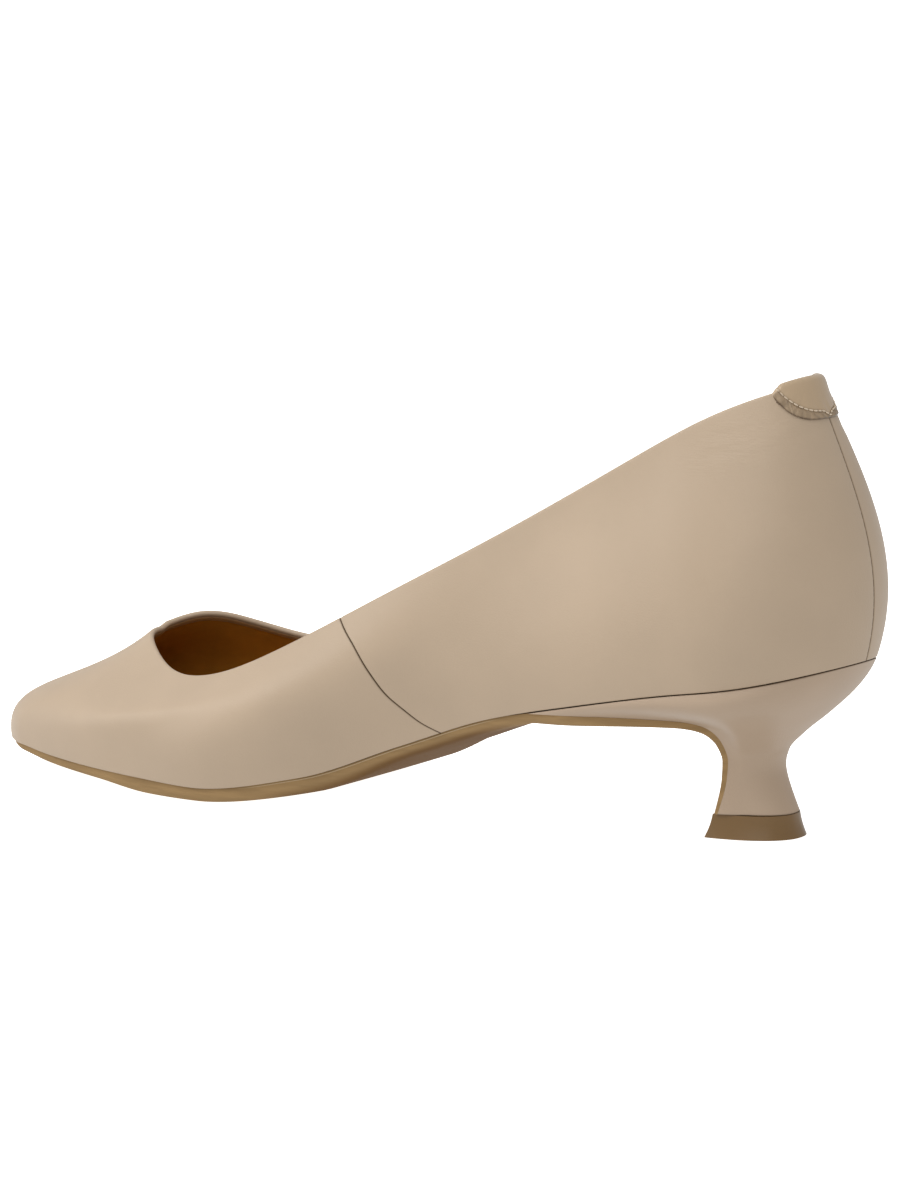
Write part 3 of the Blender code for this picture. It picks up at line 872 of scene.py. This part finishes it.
def make_heel():
    steps, count = ((44, 90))
    u = np.sin(np.pi / 2 * np.linspace(0, 1, steps + 1))
    top = [0, 0.0008, 0.0025, 0.005, 0.009, 0.015]
    downs = np.concatenate([top, np.linspace(0.024, 0.985, count), [0.992, 0.9965, 1.0]])[::-1]
    sides = [np.array([heel_side(side, d, u) for d in downs]) for side in (-1, 1)]
    rings = []
    for side, points in zip((-1, 1), sides):
        around = np.gradient(points, axis=1)
        out = unit(np.stack([-around[..., 1], around[..., 0], 0 * around[..., 0]], -1)) * side
        out[:, -1] = (1, 0, 0)
        gone = np.linalg.norm(np.diff(points, axis=0), axis=-1)
        from_foot = np.vstack([gone[0] * 0, np.cumsum(gone, 0)])
        from_top = from_foot[-1] - from_foot
        sunk = np.maximum(rolled(from_top, HEEL_EDGE_ROUND), rolled(from_foot, HEEL_FOOT_ROUND))
        rings.append(points - out * sunk[..., None])
    solid = np.array([np.vstack([a, b[-2::-1]]) for a, b in zip(*rings)])
    m = steps + 1
    near = np.minimum(from_top, from_foot)
    # Painted shade along the heel's joints with the upper and with the lift
    edge = np.exp(-((np.hstack([near, near[:, -2::-1]]) / EDGE_SHADE) ** 2))
    faces = d_faces(len(solid), m)
    make("heel_cover", solid, faces, heel_leather, "heel", 0, {"edge": edge})


make_heel()


def make_lift():
    steps = 48
    u = np.sin(np.pi / 2 * np.linspace(0, 1, steps + 1))
    rings = []
    for share in np.linspace(0, 1, 9):
        flare = LIFT_FLARE * share + LIFT_HOLLOW * np.sin(np.pi * share)
        front, back, half = lift_outline(flare)
        arc = half * (1 - u**LIFT_POWER) ** (1 / LIFT_POWER)
        x = front + (back - front) * u
        a, b = (np.stack([x, side * arc, 0 * u + LIFT_H * share], -1) for side in (-1, 1))
        rings.append(np.vstack([a, b[-2::-1]]))
    solid = np.array(rings)
    faces = d_faces(len(solid), steps + 1)
    piece = make("heel_tip", solid, faces, lift_rubber, "heel_lift", 0, None, 50)
    bevel = piece.modifiers.new("round", "BEVEL")
    bevel.width = LIFT_ROUND
    bevel.segments = 3
    bevel.limit_method = "ANGLE"
    bevel.angle_limit = np.radians(50)


make_lift()


# Sole
def sole_top(x):
    """Height of the outsole's upper face, which drops to pass under the front of the heel."""
    s = x / LENGTH
    ramp = np.clip((s - WING_AT + WING_RAMP) / WING_RAMP, 0, 1)
    return feather_z(s) + SOLE_UP - (SOLE_UP + CLOSE + WING_GAP) * ease(ramp)


def sole_stations():
    """Edges of the outsole's upper face, inner and outer, with the sizes of each section."""
    columns = 200
    at = np.arange(columns + 1) / columns
    at = at[along(at) < WING_AT - WING_LAP]
    inner = feather(-1, at) - level_out(feather, at) * SOLE_INSET
    outer = feather(1, at) - level_out(feather, 2 - at) * SOLE_INSET
    inner[0, 1] -= JOIN
    outer[0, 1] += JOIN
    for side in (inner, outer):
        side[:, 2] = sole_top(side[:, 0])
    s = (inner[:, 0] + outer[:, 0]) / 2 / LENGTH
    full = SOLE_T - JOIN
    edge = full * column(EDGE, "edge", s)
    belly = full * column(EDGE, "belly", s)
    soft = BALL * column(EDGE, "round", s)
    down = np.linspace(0, 1, 80)
    front = heel_edge("front", down)
    tangent = unit(np.gradient(front, axis=0))
    front = front + CLOSE * np.stack([tangent[:, 1], -tangent[:, 0]], -1)
    trim = SOLE_INSET + (CLOSE - SOLE_INSET) * ease(down / TRIM_BLEND)
    sides = []
    for side in (-1, 1):
        y = side * (heel_front_half(side, down) - trim)
        sides.append(np.stack([front[:, 0], y, front[:, 1]], -1))
    thin = ease(down / BREAST_BLEND)
    inner, outer = np.vstack([inner, sides[0]]), np.vstack([outer, sides[1]])
    breast = BREAST_T * column(BREAST, "thick", down)
    edge = np.concatenate([edge, edge[-1] + (breast - edge[-1]) * thin])
    belly = np.concatenate([belly, belly[-1] * (1 - thin)])
    soft = np.concatenate([soft, soft[-1] + (BREAST_ROUND - soft[-1]) * thin])
    return inner, outer, edge, belly, soft


def make_sole():
    inner, outer, edge, belly, soft = sole_stations()
    middle = (inner + outer) / 2
    path = unit(np.gradient(middle[:, [0, 2]], axis=0))
    below = np.stack([path[:, 1], 0 * edge, -path[:, 0]], -1)
    width = np.linalg.norm(outer - inner, axis=1)
    soft = np.minimum(soft, 0.4 * width)
    turn = np.radians(np.linspace(0, 90, 9))
    s = middle[:, 0] / LENGTH
    under_foot = np.arange(len(s)) < np.argmax(s)
    lip_shown = plateau(s, *LIP_SPAN) * under_foot
    waist = plateau(s, *WAIST_SPAN) * under_foot
    rings, dark, lip_highlight = [], [], []
    for i in range(len(inner)):
        lip = min(LIP_DEEP, edge[i] * 0.3)
        low = np.concatenate([[lip * 0.7, lip], lip * 1.3 + (edge[i] - lip * 1.3) * np.sin(turn)])
        v = soft[i] / width[i] * (1 - np.cos(turn))
        step = LIP_OUT * lip_shown[i] / width[i]
        v = np.concatenate([[0, 0], step + v * (1 - step)])
        flat = np.linspace(v[-1], 1 - v[-1], 12)[1:-1]
        v = np.concatenate([v, flat, 1 - v[::-1]])
        low = np.concatenate([low, np.full(10, edge[i]), low[::-1]])
        low = low + belly[i] * (1 - (2 * v - 1) ** 2) * ease(low / edge[i])
        across = inner[i] + (outer[i] - inner[i]) * v[:, None]
        under = across + below[i] * low[:, None]
        rings.append(np.vstack([outer[i], inner[i], under]))
        depth = np.concatenate([[0, 0], low])
        # Painted shade under the waist, darker towards the bottom of the edge
        dark.append(waist[i] * ease((depth / edge[i] - BELLY_FROM) / (BELLY_TO - BELLY_FROM)))
        # Painted highlight on the lip's row, a fine pale line
        line = np.zeros(len(depth))
        line[[3, -2]] = lip_shown[i]
        lip_highlight.append(line)
    points = np.array(rings)
    points[..., 2] = np.maximum(points[..., 2], 0)
    rows, columns = points.shape[:2]
    faces = band_faces(rows, columns, True)
    faces.append(list(range(columns))[::-1])
    faces.append(list(range((rows - 1) * columns, rows * columns)))
    values = {"belly": np.array(dark), "lip": np.array(lip_highlight)}
    make("sole", points, faces, tan_leather, "outsole", 0, values)


make_sole()


# Heel tab
def tab_edge(p):
    """Distance below the topline of the tab's lower edge, p from -1 to 1 across the tab."""
    return np.maximum(TAB_DEEP * (1 - np.abs(p) ** TAB_POWER), TAB_LEAST)


def tab_stitch(p):
    """Distance below the topline of the stitches, which meet the tab's edge at the back seam."""
    q = np.clip(np.abs(p) * TAB_REACH / STITCH_REACH, 0, 1)
    return STITCH_DEEP * (1 - q**3) + STITCH_DIP * np.exp(-((p / 0.09) ** 2))


def waves(x, seed, size):
    """Even, repeatable small waves along x, from -1 to 1."""
    picks = np.random.RandomState(seed).uniform(-1, 1, 400)
    k = np.mod(x / size, 398)
    i = k.astype(int)
    f = ease(k - i)
    return picks[i] * (1 - f) + picks[i + 1] * f


def make_tab():
    columns, rows = ((200, 64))
    p = np.linspace(-1, 1, columns + 1)
    p = 0.7 * p + 0.3 * np.sin(np.pi / 2 * p)
    v = 1 + p * TAB_REACH
    length = rib_length(v)
    deep = tab_edge(p)
    share = np.linspace(0, 1, rows) ** 1.35
    least = WALL / 2 * ease((np.abs(p) - TAB_TOP_AT) / (1 - TAB_TOP_AT))
    k = least + (deep - least) * (1 - share[:, None])
    t = np.minimum(1 - np.maximum(k, 0) / length, 1)
    points, out, up = skin_frame(v[None] + 0 * t, t)
    fine = np.linspace(-1, 1, 81)
    line_v = 1 + fine * TAB_REACH
    border = skin(line_v, 1 - tab_edge(fine) / rib_length(line_v))
    far, place = distance_to(points, border)
    sewn = fine * STITCH_REACH / TAB_REACH
    stitch_v = 1 + fine * STITCH_REACH
    stitched, stitched_out, _ = skin_frame(stitch_v, 1 - tab_stitch(sewn) / rib_length(stitch_v))
    to_stitch, _ = distance_to(points, stitched)
    crinkle = 0.6 * waves(place, 3, RIM_BUMP) + 0.4 * waves(place + 1.3 * far, 5, 0.7 * RIM_BUMP)
    below = ease((k - tab_stitch(p)[None]) / 0.0005)
    height = TAB_SKIN + (TAB_CROWN - TAB_SKIN) * ease(1 - k / (0.6 * TAB_DEEP))
    height = height - rolled(far, RIM_ROUND) * 0.9
    height = height + below * (RIM_RISE + RIM_HIGH * crinkle) * ease(far / 0.0004)
    height = height - GROOVE_DEEP * np.exp(-((to_stitch / GROOVE_WIDE) ** 2))
    above = np.exp(-(to_stitch / 0.0022)) * (1 - below)
    height = height + PUCKER * above * waves(place + 0.35 * to_stitch, 11, TAB_STITCH[0])
    height = height * (1 - TAB_SINK * ease((np.abs(p) - TAB_SINK_AT) / (1 - TAB_SINK_AT)))
    # The rim is darker, more so on its raised bumps, with painted shadow along the lower edge and
    # painted shade in the stitches' groove
    dark = below * (0.40 + 0.26 * crinkle) + 0.5 * np.exp(-((far / EDGE_SHADE) ** 2))
    dark = np.clip(dark + 0.5 * np.exp(-((to_stitch / GROOVE_SHADE) ** 2)), 0, 0.9)
    grid = [points + out * height[..., None]]
    away, rise, last_row = out[-1], up[-1], points[-1]
    centre = last_row - away * WALL / 2
    radius = WALL / 2 + height[-1][:, None]
    for turn in np.linspace(0, np.pi, 15)[1:]:
        grid.append((centre + radius * (np.cos(turn) * away + np.sin(turn) * rise))[None])
    for down in (0.2, 0.5, 0.8, 0.95, 1.0):
        deep_in = TAB_LIP * (0.3 + 0.7 * deep / deep.max())[:, None]
        sink = (TAB_WALL if down == 1.0 else 0.0) * away
        grid.append((centre - radius * away + sink - rise * deep_in * down)[None])
    points = np.vstack(grid)
    inside = np.zeros((len(points) - len(dark), columns + 1))
    values = {"edge": np.vstack([dark, inside])}
    faces = band_faces(*points.shape[:2])
    make("heel_tab_cover", points, faces, tab_leather, "heel_tab", -TAB_WALL, values)
    return stitched + stitched_out * (TAB_SKIN + STITCH_UP)


tab_stitch_line = make_tab()


# Stitches
def stitch_maker():
    """Geometry nodes that lay short threads along the line of the mesh they are given."""
    tree = bpy.data.node_groups.new("stitches", "GeometryNodeTree")
    maker, given, keys = Value(tree), {}, {}
    kinds = {"Geometry": "Geometry", **dict.fromkeys(STITCH_SIZES, "Float"), "Thread": "Material"}
    for name, kind in kinds.items():
        socket = tree.interface.new_socket(name, in_out="INPUT", socket_type="NodeSocket" + kind)
        keys[name] = socket.identifier
    for name in kinds:
        given[name] = maker.node("NodeGroupInput", (), (), name)
    tree.interface.new_socket("Geometry", in_out="OUTPUT", socket_type="NodeSocketGeometry")
    curve = maker.node("GeometryNodeMeshToCurve", (), {0: given["Geometry"]})
    places = {"Curve": curve, "Length": given["Spacing"]}
    spaced = maker.node("GeometryNodeResampleCurve", {"mode": "LENGTH"}, places)
    ball_sizes = {"Segments": 8, "Rings": 6, "Radius": 0.5}
    ball = maker.node("GeometryNodeMeshUVSphere", (), ball_sizes, "Mesh")
    sizes = {0: given["Thickness"], 1: given["Thickness"], 2: given["Stitch Length"]}
    size = maker.node("ShaderNodeCombineXYZ", (), sizes)
    tangent = maker.node("GeometryNodeInputTangent")
    turn = maker.node("FunctionNodeAlignRotationToVector", {"axis": "Z"}, {"Vector": tangent})
    laid = {"Points": spaced, "Instance": ball, "Rotation": turn, "Scale": size}
    laid = maker.node("GeometryNodeInstanceOnPoints", (), laid)
    real = maker.node("GeometryNodeRealizeInstances", (), {0: laid})
    round_ones = maker.node("GeometryNodeSetShadeSmooth", (), {0: real})
    inputs = {"Geometry": round_ones, "Material": given["Thread"]}
    painted = maker.node("GeometryNodeSetMaterial", (), inputs)
    tree.links.new(painted.socket, tree.nodes.new("NodeGroupOutput").inputs[0])
    return tree, keys


stitch_tree, stitch_inputs = stitch_maker()


def make_stitches(name, line, sizes, material, stands_for):
    """Stitches along a line of points, as one plain mesh, with sizes as in STITCH_SIZES."""
    edges = [(i, i + 1) for i in range(len(line) - 1)]
    guide = add_object(name + "_line", new_mesh(name, line - origin, edges))
    maker = guide.modifiers.new("stitches", "NODES")
    maker.node_group = stitch_tree
    for key, size in zip(STITCH_SIZES, sizes):
        maker[stitch_inputs[key]] = size
    maker[stitch_inputs["Thread"]] = material
    bpy.context.view_layer.update()
    graph = bpy.context.evaluated_depsgraph_get()
    piece = add_object(name, bpy.data.meshes.new_from_object(guide.evaluated_get(graph)))
    bpy.data.objects.remove(guide)
    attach(piece, "root")
    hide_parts(stands_for)


make_stitches("tab_stitches", tab_stitch_line, TAB_STITCH, thread, "heel_tab")

back_t = np.linspace(0.02, 1 - TAB_DEEP / float(rib_length(np.array(1.0))), 60)
back_points, back_out, _ = skin_frame(np.full(60, 1.0), back_t)
dark_thread = plain_material("seam_thread", SEAM_THREAD, 0.6, grain=3000.0, strength=0.2)
back_line = back_points - back_out * BACK_STITCH_IN
make_stitches("back_seam_stitches", back_line, BACK_STITCH, dark_thread, "upper")


# Floor, light and camera
FLOOR_WHITE = (0.93, 0.93, 0.93)
FLOOR_GLOW = 1.0
FLOOR_LOW = -0.0002
BACKDROP_FAR = 12.0
BACKDROP_HIGH = 3.0
BACKDROP_SIDES = 64


def add_stage(name, points, faces, material):
    """Part of the surroundings, which lights nothing and shows in no reflection."""
    mesh = new_mesh(name, points, faces=faces)
    mesh.materials.append(material)
    thing = add_object(name, mesh)
    thing.visible_diffuse = thing.visible_glossy = False
    return thing


def make_floor():
    """Floor, and a round wall that rises from its far edge."""
    material, _, shader, _ = new_material("pale_floor", FLOOR_WHITE, roughness=0.9, specular=0.0)
    shader.inputs["Emission Color"].default_value = (1.0, 1.0, 1.0, 1.0)
    shader.inputs["Emission Strength"].default_value = FLOOR_GLOW
    corners = BACKDROP_FAR * np.array([(-1, -1, 0), (1, -1, 0), (1, 1, 0), (-1, 1, 0)])
    add_stage("floor", corners + (0, 0, FLOOR_LOW), [(0, 1, 2, 3)], material)
    turn = 2 * np.pi * np.arange(BACKDROP_SIDES) / BACKDROP_SIDES
    around = BACKDROP_FAR * np.stack([np.cos(turn), np.sin(turn), 0 * turn], -1)
    points = np.vstack([around + (0, 0, z) for z in (BACKDROP_HIGH, FLOOR_LOW)])
    wall = add_stage("backdrop", points, band_faces(2, BACKDROP_SIDES, True), material)
    wall.visible_shadow = False


make_floor()

# World: brightness above the horizon and below it, where a white floor would send light back
WORLD_ABOVE, WORLD_BELOW = 0.56, 0.88
HORIZON_SOFT = 0.05


def make_world():
    """Even light from above and from below, with a soft step between them."""
    world = bpy.data.worlds.new("studio")
    bpy.context.scene.world = world
    world.use_nodes = True
    maker = Value(world.node_tree)
    place = maker.node("ShaderNodeTexCoord", (), (), "Generated")
    inputs = {0: place, 1: (0, 0, 1)}
    up = maker.node("ShaderNodeVectorMath", {"operation": "DOT_PRODUCT"}, inputs, "Value")
    above, below = ((bright,) * 3 + (1.0,) for bright in (WORLD_ABOVE, WORLD_BELOW))
    glow = up.ramp(-HORIZON_SOFT, HORIZON_SOFT).mix(below, above)
    background = world.node_tree.nodes["Background"]
    world.node_tree.links.new(glow.socket, background.inputs["Color"])
    background.inputs["Strength"].default_value = 1.0


make_world()

MIDDLE = np.array([0.125, 0.0, 0.045]) - origin

# Square softboxes: their distance and size, and name, bearing and height in degrees, and power
LIGHT_FAR, LIGHT_SIZE = 1.3, 0.9
LIGHTS = (
    ("low_left_softbox", -60, 12, 3.4),
    ("left_softbox", -50, 45, 3.5),
    ("top_softbox", -35, 68, 4.8),
    ("front_softbox", 20, 35, 1.9),
)


def direction(bearing, height):
    a, e = np.radians((bearing, height))
    return np.array([np.sin(a) * np.cos(e), -np.cos(a) * np.cos(e), np.sin(e)])


def place_facing(thing, at, towards):
    """Puts a lamp or a camera at a point, looking at another."""
    thing.location = at
    thing.rotation_euler = Vector(towards - at).to_track_quat("-Z", "Y").to_euler()


for name, bearing, height, power in LIGHTS:
    lamp = bpy.data.lights.new(name, "AREA")
    lamp.size, lamp.energy = LIGHT_SIZE, power
    place_facing(add_object(name, lamp), MIDDLE + LIGHT_FAR * direction(bearing, height), MIDDLE)

# The camera, measured from the photo: bearing, height and roll in degrees
CAMERA_BEARING, CAMERA_HEIGHT, CAMERA_ROLL = 33.73, 7.91, -1.13
CAMERA_FAR = 0.8915
CAMERA_FOCUS = 3664.0
PHOTO_W, PHOTO_H = 900, 1200
TARGET_X, TARGET_Y = 419.0, 615.4


def make_camera():
    data = bpy.data.cameras.new("photo_camera")
    data.sensor_width = 36.0
    data.lens = CAMERA_FOCUS * data.sensor_width / PHOTO_H
    data.shift_x = (PHOTO_W / 2 - TARGET_X) / PHOTO_H
    data.shift_y = (TARGET_Y - PHOTO_H / 2) / PHOTO_H
    data.clip_start, data.clip_end = 0.05, 60
    camera = add_object("photo_camera", data)
    a, roll = np.radians((CAMERA_BEARING, CAMERA_ROLL))
    back = direction(CAMERA_BEARING, CAMERA_HEIGHT)
    right = np.array([np.cos(a), np.sin(a), 0.0])
    up = np.cross(back, right)
    right, up = np.cos(roll) * right + np.sin(roll) * up, -np.sin(roll) * right + np.cos(roll) * up
    matrix = np.eye(4)
    matrix[:3] = np.stack([right, up, back, MIDDLE + CAMERA_FAR * back], -1)
    camera.matrix_world = Matrix(matrix.tolist())
    bpy.context.scene.camera = camera


make_camera()
bpy.context.scene.view_settings.view_transform = "Standard"
